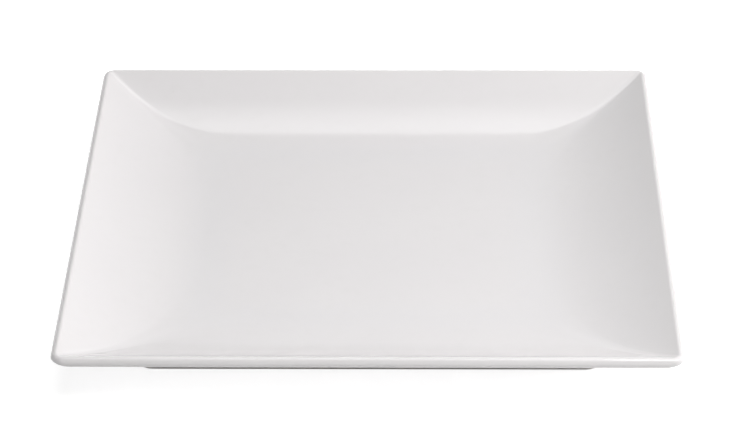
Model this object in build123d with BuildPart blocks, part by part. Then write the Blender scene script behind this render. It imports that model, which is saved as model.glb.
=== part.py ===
from build123d import *
import math
import os

os.makedirs("parts", exist_ok=True)

# Plan sizes
plate_side = 260.0
wall_reach = 57.0
foot_inset = 32.0
foot_width = 5.0

# Heights and thicknesses, glaze included
well_depth = 15.4
floor_thickness = 5.5
foot_recess = 4.4
lip_thickness = 4.4

# Glaze coat, wiped back from the table by the height of the bare clay
glaze_thickness = 0.3
bare_height = 1.2

# Corner radii in plan, and how fast the corner creases soften towards the floor
rim_corner = 7.0
crease_corner = 2.5
floor_corner = 47.0
foot_corner = 7.0
foot_well_corner = 5.0
crease_fade = 4

# Edge rounding and draft
lip_round = 1.8
foot_round = 1.0
foot_blend = 2.0
foot_draft = 12.0

# Contours that each curved face is lofted through, besides its first
wall_levels = 8

# The wall's middle line is an arc, level at the floor's edge, that ends in the lip
floor_half = plate_side / 2 - wall_reach
floor_height = foot_recess + floor_thickness
lip_land = lip_thickness - 2 * lip_round
lip_reach = lip_round + lip_land / math.sqrt(2)
wall_run = wall_reach - lip_reach
wall_rise = well_depth + lip_thickness / 2 - lip_reach
rim_angle = 2 * math.atan(wall_rise / wall_run)
middle_radius = wall_run / math.sin(rim_angle)
edge_angle = rim_angle + lip_thickness / 2 / middle_radius

# Eating face: its cove stands off the middle line by half the lip
cove_radius = middle_radius - lip_thickness / 2

# Underside: a wider arc, so that the wall thins from the floor to the lip
edge_radius = middle_radius + lip_thickness / 2
edge_half = floor_half + edge_radius * math.sin(edge_angle)
edge_corner = rim_corner + edge_half - plate_side / 2
under_rise = floor_thickness + cove_radius - edge_radius * math.cos(edge_angle)
under_radius = under_rise / (1 - math.cos(edge_angle))
under_half = edge_half - under_radius * math.sin(edge_angle)
under_corner = floor_corner - floor_half + under_half

# Foot ring
foot_half = plate_side / 2 - foot_inset
foot_well_half = foot_half - foot_width
foot_spread = floor_height * math.tan(math.radians(foot_draft))


def contour(half, corner, height):
    """A level rounded square about the plate's axis."""
    with BuildSketch(Plane.XY.offset(height)) as square:
        RectangleRounded(2 * half, 2 * half, corner)
    return square.sketch


def coved_face(half, height, radius, low_corner, high_corner, setback):
    """Contours up an arc whose corners are wide at the foot of the wall and tight at its edge."""
    last_angle = edge_angle - abs(setback) / middle_radius
    contours = []
    for level in range(wall_levels + 1):
        climb = level / wall_levels
        angle = climb * last_angle
        outward = (radius + setback) * math.sin(angle)
        upward = radius - (radius + setback) * math.cos(angle)
        corner = high_corner + (low_corner - high_corner) * (1 - climb) ** crease_fade
        contours.append(contour(half + outward, corner + setback * math.sin(angle), height + upward))
    return contours


def drafted_side(half, corner, spread):
    """The foot ring's outline on the table, and wider by the spread where it is buried in the wall."""
    return [contour(half, corner, 0), contour(half + spread, corner + spread, floor_height)]


def plate_form(skin):
    """The whole plate with every face but the standing edge set back by the skin."""
    foot_side = drafted_side(foot_half - skin, foot_corner - skin, foot_spread)
    foot_well = drafted_side(foot_well_half + skin, foot_well_corner + skin, -foot_spread)
    underside = coved_face(under_half, foot_recess, under_radius, under_corner, edge_corner, -skin)
    well = coved_face(floor_half, floor_height, cove_radius, floor_corner, crease_corner, skin)
    with BuildPart() as form:
        # Foot ring, rounded where it stands
        loft(sections=foot_side, ruled=True)
        loft(sections=foot_well, ruled=True, mode=Mode.SUBTRACT)
        fillet(form.edges().group_by(Axis.Z)[0], radius=foot_round)

        # Curved underside, blended into both sides of the foot ring
        loft(sections=underside)
        fillet(form.edges(Select.NEW), radius=foot_blend + skin)

        # Edge of the wall, square to it, then the well, then the round of the lip
        loft(sections=[underside[-1], well[-1]], ruled=True)
        loft(sections=well, mode=Mode.SUBTRACT)
        rim_edges = form.edges().filter_by(Plane.XY).group_by(Axis.Z)[-2:]
        fillet(rim_edges[0] + rim_edges[1], radius=lip_round - skin)
    return form.part


# Fired clay, smaller than the finished plate by the glaze
with BuildPart() as porcelain_body:
    add(plate_form(glaze_thickness))
porcelain_body.part.label = "porcelain_body"
export_step(porcelain_body.part, "parts/porcelain_body.step")

# Both glaze coats: the finished plate without the clay, down to the glaze line
with BuildPart() as glaze:
    add(plate_form(0))
    add(porcelain_body.part, mode=Mode.SUBTRACT)
    split(bisect_by=Plane.XY.offset(bare_height), keep=Keep.TOP)

# Coat over the eating face, the lip and the underside outside the foot ring
with BuildPart() as outer_glaze:
    add(glaze.solids().sort_by(SortBy.VOLUME)[-1])
outer_glaze.part.label = "outer_glaze"
export_step(outer_glaze.part, "parts/outer_glaze.step")

# Coat on the underside within the foot ring
with BuildPart() as foot_well_glaze:
    add(glaze.solids().sort_by(SortBy.VOLUME)[0])
foot_well_glaze.part.label = "foot_well_glaze"
export_step(foot_well_glaze.part, "parts/foot_well_glaze.step")
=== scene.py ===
import math

import bmesh
import bpy
from mathutils import Matrix, Vector


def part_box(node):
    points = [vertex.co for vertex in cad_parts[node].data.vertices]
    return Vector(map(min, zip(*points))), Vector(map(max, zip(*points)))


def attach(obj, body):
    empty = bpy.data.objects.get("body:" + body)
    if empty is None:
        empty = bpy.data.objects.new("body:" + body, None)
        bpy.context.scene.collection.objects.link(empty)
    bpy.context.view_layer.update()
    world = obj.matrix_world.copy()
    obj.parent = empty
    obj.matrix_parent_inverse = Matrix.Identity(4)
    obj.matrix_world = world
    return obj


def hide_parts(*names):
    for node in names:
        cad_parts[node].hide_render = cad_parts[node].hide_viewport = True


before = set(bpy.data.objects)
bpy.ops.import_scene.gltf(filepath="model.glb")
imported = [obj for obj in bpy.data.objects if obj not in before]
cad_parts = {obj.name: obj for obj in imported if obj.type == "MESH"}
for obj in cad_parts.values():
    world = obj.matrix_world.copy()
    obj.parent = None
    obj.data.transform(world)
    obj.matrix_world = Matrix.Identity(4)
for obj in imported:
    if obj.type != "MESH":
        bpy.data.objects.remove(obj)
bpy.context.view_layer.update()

# The plate's outer sizes, as the frame has them
coat_low, coat_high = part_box("outer_glaze")
rim_half = coat_high.x
glaze_line = coat_low.z

# The plate's other sizes, in metres
wall_reach = 0.057
well_depth = 0.0154
floor_thickness = 0.0055
foot_recess = 0.0044
lip_thickness = 0.0044
lip_round = 0.0018
glaze_thickness = 0.0003
glaze_edge_round = 0.0001
foot_inset = 0.032
foot_width = 0.005
foot_blend = 0.002
foot_draft = math.radians(12)
rim_corner = 0.007
crease_corner = 0.0025
floor_corner = 0.047
foot_corner = 0.007
foot_well_corner = 0.005
crease_fade = 4

# How wide the painted highlight along a crease spreads, how wide the glaze pools at the foot of a wall, and
# how high the bare clay is scuffed
crease_highlight_width = 0.006
wall_pool = 0.018
bare_scuff = 0.0003

# How finely the glaze is modelled
side_cuts = 23
corner_cuts = 12
wall_rings = 22
lip_rings = 8
underside_rings = 14
blend_rings = 6
foot_rings = 3

# How near to the lip's round its holding rings stand, as a share of the wall's slope
hold = 0.01

# How sharply the glaze turns at an edge before it is rounded off, and before it is shaded as an edge
rounded_turn = math.radians(60)
smooth_turn = math.radians(50)

# Section through a wall: the eating face and the underside are arcs about two centres
floor_half = rim_half - wall_reach
floor_height = foot_recess + floor_thickness
lip_reach = lip_round + (lip_thickness - 2 * lip_round) / math.sqrt(2)
wall_run = wall_reach - lip_reach
wall_rise = well_depth + lip_thickness / 2 - lip_reach
rim_angle = 2 * math.atan(wall_rise / wall_run)
middle_radius = wall_run / math.sin(rim_angle)
edge_angle = rim_angle + lip_thickness / 2 / middle_radius
cove_radius = middle_radius - lip_thickness / 2
edge_radius = middle_radius + lip_thickness / 2
edge_half = floor_half + edge_radius * math.sin(edge_angle)
edge_corner = rim_corner + edge_half - rim_half
under_rise = floor_thickness + cove_radius - edge_radius * math.cos(edge_angle)
under_radius = under_rise / (1 - math.cos(edge_angle))
under_half = edge_half - under_radius * math.sin(edge_angle)
under_corner = floor_corner - floor_half + under_half
cove_centre = Vector((floor_half, floor_height + cove_radius))
under_centre = Vector((under_half, foot_recess + under_radius))
foot_half = rim_half - foot_inset
foot_well_half = foot_half - foot_width


def pointing(angle):
    """A unit direction in the section, measured up from straight outwards."""
    return Vector((math.cos(angle), math.sin(angle)))


def crease_radius(angle, low_corner, high_corner):
    """Corner radius in plan at this slope of the wall: wide at the floor, tight at the lip."""
    return high_corner + (low_corner - high_corner) * (1 - angle / edge_angle) ** crease_fade


def cove_ring(angle):
    """Half side, corner radius and height of the eating face where the wall has this slope."""
    half, height = cove_centre + cove_radius * pointing(angle - math.pi / 2)
    return half, crease_radius(angle, floor_corner, crease_corner), height


def underside_ring(angle):
    """The same for the underside of the wall."""
    half, height = under_centre + under_radius * pointing(angle - math.pi / 2)
    return half, crease_radius(angle, under_corner, edge_corner), height


def round_over(centre, radius, start, end, first, last, count):
    """Rings round an edge, with corners that pass from those of one face to those of the next."""
    first_axis = first[0] - first[1]
    last_axis = last[0] - last[1]
    rings = []
    for step in range(1, count):
        share = step / count
        half, height = centre + radius * pointing(start + (end - start) * share)
        axis = first_axis + (last_axis - first_axis) * share
        rings.append((half, half - axis, height))
    return rings


def lip_edge(cove_end, under_end, cove_slope, under_slope):
    """Rings over the rounded lip, from the eating face to the underside."""
    upper = cove_centre + (cove_radius + lip_round) * pointing(cove_slope - math.pi / 2)
    lower = under_centre + (under_radius - lip_round) * pointing(under_slope - math.pi / 2)
    land = (upper + lower) / 2 + lip_round * pointing(edge_angle)
    land_ring = (land.x, (crease_corner + edge_corner) / 2, land.y)
    eating_side = cove_slope + math.pi / 2
    table_side = under_slope - math.pi / 2
    over = round_over(upper, lip_round, eating_side, edge_angle, cove_end, land_ring, lip_rings)
    below = round_over(lower, lip_round, edge_angle, table_side, land_ring, under_end, lip_rings)
    return over + [land_ring] + below


def foot_side(half, lean):
    """Where the blend between a side of the foot ring and the underside is centred, and its ends."""
    along = pointing(math.pi / 2 - lean)
    outward = pointing(-lean) if lean > 0 else pointing(math.pi - lean)
    start = Vector((half, 0)) + foot_blend * outward - under_centre
    slope = start.dot(along)
    room = (under_radius + foot_blend) ** 2
    climb = -slope - math.sqrt(slope ** 2 - start.length_squared + room)
    centre = under_centre + start + climb * along
    top = under_centre - centre
    return centre, math.atan2(top.y, top.x), math.atan2(-outward.y, -outward.x) % math.tau


def side_ring(half, corner, lean, height):
    """The foot ring's outline at a height on its drafted side."""
    spread = height * math.tan(lean)
    return half + spread, corner + spread, height


def foot_rings_down(half, corner, lean, under_end, centre, top, side):
    """Rings down the blend and the side of the foot ring to the glaze line."""
    side_top = (centre + foot_blend * pointing(side)).y
    meeting = side_ring(half, corner, lean, side_top)
    blend = round_over(centre, foot_blend, top, side, under_end, meeting, blend_rings)
    down = []
    for step in range(foot_rings + 1):
        down.append(side_ring(half, corner, lean, side_top + (glaze_line - side_top) * step / foot_rings))
    return blend + down


def outer_coat_rings():
    """Contours of the coat from the edge of the floor, over the lip and down to the glaze line outside."""
    cove_slope = edge_angle - math.asin(lip_round / (cove_radius + lip_round))
    under_slope = edge_angle - math.asin(lip_round / (under_radius - lip_round))
    rings = [cove_ring(cove_slope * step / wall_rings) for step in range(wall_rings)]
    rings += [cove_ring(cove_slope * (1 - hold)), cove_ring(cove_slope)]
    rings += lip_edge(rings[-1], underside_ring(under_slope), cove_slope, under_slope)
    centre, top, side = foot_side(foot_half, foot_draft)
    foot_slope = math.atan2(centre.x - under_half, under_centre.y - centre.y)
    rings += [underside_ring(under_slope), underside_ring(under_slope + (foot_slope - under_slope) * hold)]
    for step in range(1, underside_rings + 1):
        rings.append(underside_ring(under_slope + (foot_slope - under_slope) * step / underside_rings))
    return rings + foot_rings_down(foot_half, foot_corner, foot_draft, rings[-1], centre, top, side)


def foot_well_rings():
    """Contours of the inner coat from the flat ceiling of the foot well down to the glaze line inside."""
    lean = -foot_draft
    centre, top, side = foot_side(foot_well_half, lean)
    foot_slope = math.atan2(centre.x - under_half, under_centre.y - centre.y)
    rings = [underside_ring(foot_slope * step / blend_rings) for step in range(blend_rings + 1)]
    return rings + foot_rings_down(foot_well_half, foot_well_corner, lean, rings[-1], centre, top, side)


def start_sheet(name):
    """An empty mesh at the origin, open for modelling."""
    bpy.ops.object.select_all(action="DESELECT")
    bpy.ops.mesh.primitive_plane_add(size=floor_half, location=(0, 0, 0))
    sheet = bpy.context.object
    sheet.name = name
    sheet.data.name = name
    bpy.ops.object.mode_set(mode="EDIT")
    bpy.ops.mesh.delete(type="VERT")
    bmesh.from_edit_mesh(sheet.data).verts.layers.int.new("ring")
    return sheet


def add_ring(sheet, number, half, corner, height):
    """One contour: a plane with its corners bevelled and its sides divided, left as an open ring."""
    bpy.ops.mesh.select_all(action="DESELECT")
    bpy.ops.mesh.primitive_plane_add(size=2 * half, location=(0, 0, height))
    bpy.ops.mesh.bevel(offset=corner, offset_type="OFFSET", segments=corner_cuts, affect="VERTICES")
    mesh = bmesh.from_edit_mesh(sheet.data)
    for edge in mesh.edges:
        lone = len(edge.link_faces) == 1
        edge.select_set(lone and edge.calc_length() > half - corner)
    bmesh.update_edit_mesh(sheet.data)
    bpy.ops.mesh.subdivide(number_cuts=side_cuts)
    bpy.ops.mesh.select_all(action="SELECT")
    bpy.ops.mesh.delete(type="ONLY_FACE")
    mesh = bmesh.from_edit_mesh(sheet.data)
    ring = mesh.verts.layers.int["ring"]
    for vert in mesh.verts:
        if vert[ring] == 0:
            vert[ring] = number


def select_rings(sheet, numbers):
    """Selects the edges that run round these rings."""
    bpy.ops.mesh.select_all(action="DESELECT")
    mesh = bmesh.from_edit_mesh(sheet.data)
    ring = mesh.verts.layers.int["ring"]
    for edge in mesh.edges:
        first, last = edge.verts
        if first[ring] == last[ring] and first[ring] in numbers:
            edge.select_set(True)
    bmesh.update_edit_mesh(sheet.data)


def model_coat(name, node, rings, hollow_side, finish):
    """A coat of glaze bridged from ring to ring, closed across the first, then given its thickness."""
    sheet = start_sheet(name)
    bpy.ops.mesh.select_mode(type="EDGE")
    for number, ring in enumerate(rings, start=1):
        add_ring(sheet, number, *ring)
    for number in range(1, len(rings)):
        select_rings(sheet, (number, number + 1))
        bpy.ops.mesh.bridge_edge_loops()
    select_rings(sheet, (1,))
    quarter = side_cuts + 1 + corner_cuts
    bpy.ops.mesh.fill_grid(span=quarter, offset=corner_cuts // 2)
    bpy.ops.mesh.select_all(action="SELECT")
    bpy.ops.mesh.normals_make_consistent(inside=hollow_side)
    bpy.ops.object.mode_set(mode="OBJECT")
    thicken = sheet.modifiers.new("Glaze thickness", "SOLIDIFY")
    thicken.thickness = glaze_thickness
    thicken.offset = -1
    thicken.use_even_offset = True
    bpy.ops.object.modifier_apply(modifier=thicken.name)
    soften = sheet.modifiers.new("Glaze edge", "BEVEL")
    soften.width = glaze_edge_round
    soften.segments = 2
    soften.limit_method = "ANGLE"
    soften.angle_limit = rounded_turn
    bpy.ops.object.modifier_apply(modifier=soften.name)
    bpy.ops.object.shade_smooth_by_angle(angle=smooth_turn)
    sheet.data.materials.clear()
    sheet.data.materials.append(finish)
    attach(sheet, "root")
    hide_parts(node)


def new_finish(name):
    """A node material, its node tree and its shader's inputs."""
    finish = bpy.data.materials.new(name)
    finish.use_nodes = True
    tree = finish.node_tree
    return finish, tree, tree.nodes["Principled BSDF"].inputs


def feed(tree, socket, value):
    """Joins another node's output to a socket, or sets a number or colour on it."""
    if isinstance(value, bpy.types.NodeSocket):
        tree.links.new(value, socket)
    else:
        socket.default_value = value


def reckon(tree, operation, *values):
    """One sum of numbers and sockets."""
    node = tree.nodes.new("ShaderNodeMath")
    node.operation = operation
    for socket, value in zip(node.inputs, values):
        feed(tree, socket, value)
    return node.outputs["Value"]


def step_between(tree, value, low, high, at_low, at_high):
    """A smooth step of a value between two levels."""
    node = tree.nodes.new("ShaderNodeMapRange")
    node.interpolation_type = "SMOOTHSTEP"
    for socket, level in zip(node.inputs, (value, low, high, at_low, at_high)):
        feed(tree, socket, level)
    return node.outputs["Result"]


def cloud(tree, place, size, detail):
    """Cloudy noise whose patches are about this size in metres."""
    node = tree.nodes.new("ShaderNodeTexNoise")
    feed(tree, node.inputs["Vector"], place)
    feed(tree, node.inputs["Scale"], 1 / size)
    feed(tree, node.inputs["Detail"], detail)
    return node.outputs["Fac"]


def dots(tree, place, spacing, radius):
    """1 in small round dots scattered about this far apart, both in metres."""
    node = tree.nodes.new("ShaderNodeTexVoronoi")
    feed(tree, node.inputs["Vector"], place)
    feed(tree, node.inputs["Scale"], 1 / spacing)
    return step_between(tree, node.outputs["Distance"], low=0, high=radius / spacing, at_low=1, at_high=0)


def tinted(tree, share, plain, tint):
    """A colour that goes from plain to a tint as the share rises to 1."""
    node = tree.nodes.new("ShaderNodeMix")
    node.data_type = "RGBA"
    feed(tree, node.inputs["Factor"], share)
    colours = [socket for socket in node.inputs if socket.type == "RGBA"]
    feed(tree, colours[0], plain)
    feed(tree, colours[1], tint)
    return [socket for socket in node.outputs if socket.type == "RGBA"][0]


def relief(tree, height):
    """A surface normal bent by a height in metres."""
    node = tree.nodes.new("ShaderNodeBump")
    feed(tree, node.inputs["Strength"], 1)
    feed(tree, node.inputs["Distance"], 1)
    feed(tree, node.inputs["Height"], height)
    return node.outputs["Normal"]


def where(tree):
    """The place on the plate in metres, and its parts along X, Y and Z."""
    place = tree.nodes.new("ShaderNodeTexCoord").outputs["Object"]
    parts = tree.nodes.new("ShaderNodeSeparateXYZ")
    feed(tree, parts.inputs["Vector"], place)
    return place, parts.outputs


def highlight_and_pool_shares(tree, parts):
    """How strongly the corner creases get their painted highlight, and how far the glaze has run together
    at the foot of the walls.
    """
    across = reckon(tree, "ABSOLUTE", parts["X"])
    along = reckon(tree, "ABSOLUTE", parts["Y"])
    outward = reckon(tree, "MAXIMUM", across, along)
    off_crease = reckon(tree, "ABSOLUTE", reckon(tree, "SUBTRACT", across, along))
    mid_wall = rim_half - wall_reach / 2
    on_wall = step_between(tree, outward, low=floor_half, high=mid_wall, at_low=0, at_high=1)
    # Painted highlight: a lighter band along each crease, strongest on the crease and gone this far to
    # either side
    beside = step_between(tree, off_crease, low=0, high=crease_highlight_width, at_low=1, at_high=0)
    crease_highlight = reckon(tree, "MULTIPLY", beside, on_wall)
    rising = step_between(tree, outward, low=floor_half - wall_pool, high=floor_half, at_low=0, at_high=0.5)
    falling = step_between(tree, outward, low=floor_half, high=floor_half + wall_pool, at_low=1, at_high=0)
    return crease_highlight, reckon(tree, "MULTIPLY", rising, falling)


def glaze_height(tree, place):
    """The glaze's surface: a slow waviness, fine orange peel and a few burst bubbles."""
    wave_height = 3e-4
    peel_height = 5e-6
    bubble_depth = 2e-5
    waves = reckon(tree, "MULTIPLY", cloud(tree, place, size=0.08, detail=1), wave_height)
    peel = reckon(tree, "MULTIPLY_ADD", cloud(tree, place, size=0.0015, detail=2), peel_height, waves)
    bubbles = dots(tree, place, spacing=0.012, radius=0.00015)
    return reckon(tree, "MULTIPLY_ADD", bubbles, -bubble_depth, peel)


def white_glaze():
    """Clear gloss over white porcelain: faintly cloudy, with a painted highlight that makes the creases
    whiter, and warmer over the lip.
    """
    bright_white = (0.806, 0.789, 0.791, 1)
    dull_white = (0.796, 0.778, 0.782, 1)
    mottle_white = (0.785, 0.768, 0.768, 1)
    wall_foot_white = (0.786, 0.777, 0.785, 1)
    # A lighter white painted along the creases as a highlight
    crease_highlight_white = (0.822, 0.805, 0.809, 1)
    lip_white = (0.808, 0.788, 0.785, 1)
    speck_brown = (0.70, 0.66, 0.62, 1)
    speck_strength = 0.5
    finish, tree, shader = new_finish("white_glaze_gloss")
    place, parts = where(tree)
    clouds = cloud(tree, place, size=0.06, detail=2)
    broad = step_between(tree, clouds, low=0.3, high=0.7, at_low=0, at_high=1)
    colour = tinted(tree, broad, bright_white, dull_white)
    mottle = cloud(tree, place, size=0.006, detail=4)
    fine = step_between(tree, mottle, low=0.45, high=0.8, at_low=0, at_high=0.5)
    colour = tinted(tree, fine, colour, mottle_white)
    crease_highlight, wall_foot = highlight_and_pool_shares(tree, parts)
    colour = tinted(tree, wall_foot, colour, wall_foot_white)
    # Painted highlight: the corner creases are coloured whiter
    colour = tinted(tree, crease_highlight, colour, crease_highlight_white)
    lip_top = coat_high.z
    thin = step_between(tree, parts["Z"], low=lip_top - lip_thickness, high=lip_top, at_low=0, at_high=0.5)
    colour = tinted(tree, thin, colour, lip_white)
    specks = reckon(tree, "MULTIPLY", dots(tree, place, spacing=0.009, radius=0.0003), speck_strength)
    feed(tree, shader["Base Color"], tinted(tree, specks, colour, speck_brown))
    polish = cloud(tree, place, size=0.025, detail=4)
    roughness = step_between(tree, polish, low=0.3, high=0.7, at_low=0.085, at_high=0.125)
    feed(tree, shader["Roughness"], roughness)
    feed(tree, shader["Normal"], relief(tree, glaze_height(tree, place)))
    return finish


def bare_porcelain():
    """Fired clay without glaze: matt and grainy, with grey scuffs where the plate is set down."""
    pale_clay = (0.78, 0.75, 0.70, 1)
    dark_clay = (0.71, 0.68, 0.63, 1)
    grain_brown = (0.60, 0.56, 0.50, 1)
    scuff_grey = (0.50, 0.48, 0.46, 1)
    grain_height = 5e-5
    finish, tree, shader = new_finish("bare_porcelain_clay")
    place, parts = where(tree)
    grain = cloud(tree, place, size=0.0005, detail=4)
    clouds = cloud(tree, place, size=0.015, detail=3)
    patches = step_between(tree, clouds, low=0.3, high=0.7, at_low=0, at_high=1)
    colour = tinted(tree, patches, pale_clay, dark_clay)
    grainy = step_between(tree, grain, low=0.5, high=0.75, at_low=0, at_high=0.6)
    colour = tinted(tree, grainy, colour, grain_brown)
    underfoot = step_between(tree, parts["Z"], low=0, high=bare_scuff, at_low=1, at_high=0)
    rubs = cloud(tree, place, size=0.0016, detail=5)
    rubbed = step_between(tree, rubs, low=0.45, high=0.75, at_low=0, at_high=0.6)
    colour = tinted(tree, reckon(tree, "MULTIPLY", underfoot, rubbed), colour, scuff_grey)
    feed(tree, shader["Base Color"], colour)
    roughness = step_between(tree, grain, low=0.3, high=0.7, at_low=0.7, at_high=0.92)
    feed(tree, shader["Roughness"], roughness)
    feed(tree, shader["Normal"], relief(tree, reckon(tree, "MULTIPLY", grain, grain_height)))
    return finish


def background_rays(tree):
    """1 on rays that see the background: straight, in gloss or through glass."""
    ray = tree.nodes.new("ShaderNodeLightPath").outputs
    seen = reckon(tree, "MAXIMUM", ray["Is Camera Ray"], ray["Is Glossy Ray"])
    return reckon(tree, "MAXIMUM", seen, ray["Is Transmission Ray"])


def studio_floor(side, glow):
    """A wide pale floor that shows as white but keeps the plate's shadow."""
    bpy.ops.object.select_all(action="DESELECT")
    bpy.ops.mesh.primitive_plane_add(size=side, location=(0, 0, 0))
    floor = bpy.context.object
    floor.name = "studio_floor"
    finish, tree, shader = new_finish("studio_floor_paint")
    feed(tree, shader["Base Color"], (0.85, 0.85, 0.85, 1))
    feed(tree, shader["Roughness"], 0.9)
    feed(tree, shader["Specular IOR Level"], 0)
    feed(tree, shader["Emission Color"], (1, 1, 1, 1))
    feed(tree, shader["Emission Strength"], reckon(tree, "MULTIPLY", background_rays(tree), glow))
    floor.data.materials.append(finish)


def studio_world(fill):
    """White where it is seen, and a plain fill light elsewhere."""
    world = bpy.data.worlds.new("studio")
    bpy.context.scene.world = world
    world.use_nodes = True
    tree = world.node_tree
    background = tree.nodes["Background"].inputs
    feed(tree, background["Color"], (1, 1, 1, 1))
    strength = step_between(tree, background_rays(tree), low=0, high=1, at_low=fill, at_high=1)
    feed(tree, background["Strength"], strength)


def softbox(name, target, turn, tilt, distance, width, height, watts, tint=(1, 1, 1)):
    """A soft rectangular lamp, turned towards a point on the plate, with its angles in degrees."""
    lamp = bpy.data.lights.new(name, "AREA")
    lamp.shape = "RECTANGLE"
    lamp.size = width
    lamp.size_y = height
    lamp.energy = watts
    lamp.color = tint
    holder = bpy.data.objects.new(name, lamp)
    bpy.context.scene.collection.objects.link(holder)
    turn = math.radians(turn)
    tilt = math.radians(tilt)
    away = Vector((math.cos(turn) * math.cos(tilt), math.sin(turn) * math.cos(tilt), math.sin(tilt)))
    holder.location = Vector(target) + distance * away
    holder.rotation_euler = away.to_track_quat("Z", "Y").to_euler()
    return lamp


def fade_upwards(lamp, steepness):
    """Dims a softbox from its lower edge, slowly at first, to nothing at its top edge."""
    lamp.use_nodes = True
    tree = lamp.node_tree
    parts = tree.nodes.new("ShaderNodeSeparateXYZ")
    feed(tree, parts.inputs["Vector"], tree.nodes.new("ShaderNodeNewGeometry").outputs["Parametric"])
    loss = reckon(tree, "POWER", parts.outputs["Y"], steepness)
    feed(tree, tree.nodes["Emission"].inputs["Strength"], reckon(tree, "SUBTRACT", 1, loss))


def light_plate():
    """Soft lamps from the front right, low on the right, overhead and behind."""
    middle = (0, 0, floor_height)
    softbox(
        "front_right_softbox", middle, turn=310, tilt=58, distance=1.05,
        width=0.485, height=0.485, watts=7.2,
    )
    softbox(
        "low_right_softbox", middle, turn=10, tilt=20, distance=1.3,
        width=0.6, height=0.6, watts=7.5, tint=(1, 0.967, 0.978),
    )
    softbox(
        "overhead_softbox", middle, turn=270, tilt=78, distance=1.3,
        width=0.6, height=0.6, watts=3.2,
    )
    in_from_rim = 0.7 * wall_reach
    back_wall = (0, rim_half - in_from_rim, floor_height)
    back_softbox = softbox(
        "back_softbox", back_wall, turn=90, tilt=58.7, distance=1.15,
        width=0.6, height=0.463, watts=1.62,
    )
    fade_upwards(back_softbox, steepness=2.5)


def set_camera():
    """A long lens in front of the plate, looking down at the middle of its rim."""
    turn = math.radians(1.05)
    tilt = math.radians(29.88)
    roll = math.radians(-0.447)
    distance = 1.3783
    aside = 0.00217
    above = 0.00374
    back = Vector((math.sin(turn) * math.cos(tilt), -math.cos(turn) * math.cos(tilt), math.sin(tilt)))
    level = Vector((math.cos(turn), math.sin(turn), 0))
    right = level * math.cos(roll) + back.cross(level) * math.sin(roll)
    up = back.cross(right)
    rim_centre = Vector((0, 0, coat_high.z - lip_thickness / 2))
    camera = bpy.data.objects.new("camera", bpy.data.cameras.new("camera"))
    bpy.context.scene.collection.objects.link(camera)
    camera.data.sensor_width = 36
    camera.data.lens = 152.59
    stand = rim_centre - right * aside - up * above + back * distance
    camera.matrix_world = Matrix.Translation(stand) @ Matrix((right, up, back)).transposed().to_4x4()
    bpy.context.scene.camera = camera


# The plate
glaze = white_glaze()
model_coat("outer_coat", "outer_glaze", outer_coat_rings(), hollow_side=False, finish=glaze)
model_coat("foot_well_coat", "foot_well_glaze", foot_well_rings(), hollow_side=True, finish=glaze)
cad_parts["porcelain_body"].material_slots[0].material = bare_porcelain()

# The studio and the view
studio_floor(side=6, glow=0.8)
studio_world(fill=0.03)
light_plate()
set_camera()
bpy.context.scene.view_settings.view_transform = "Standard"
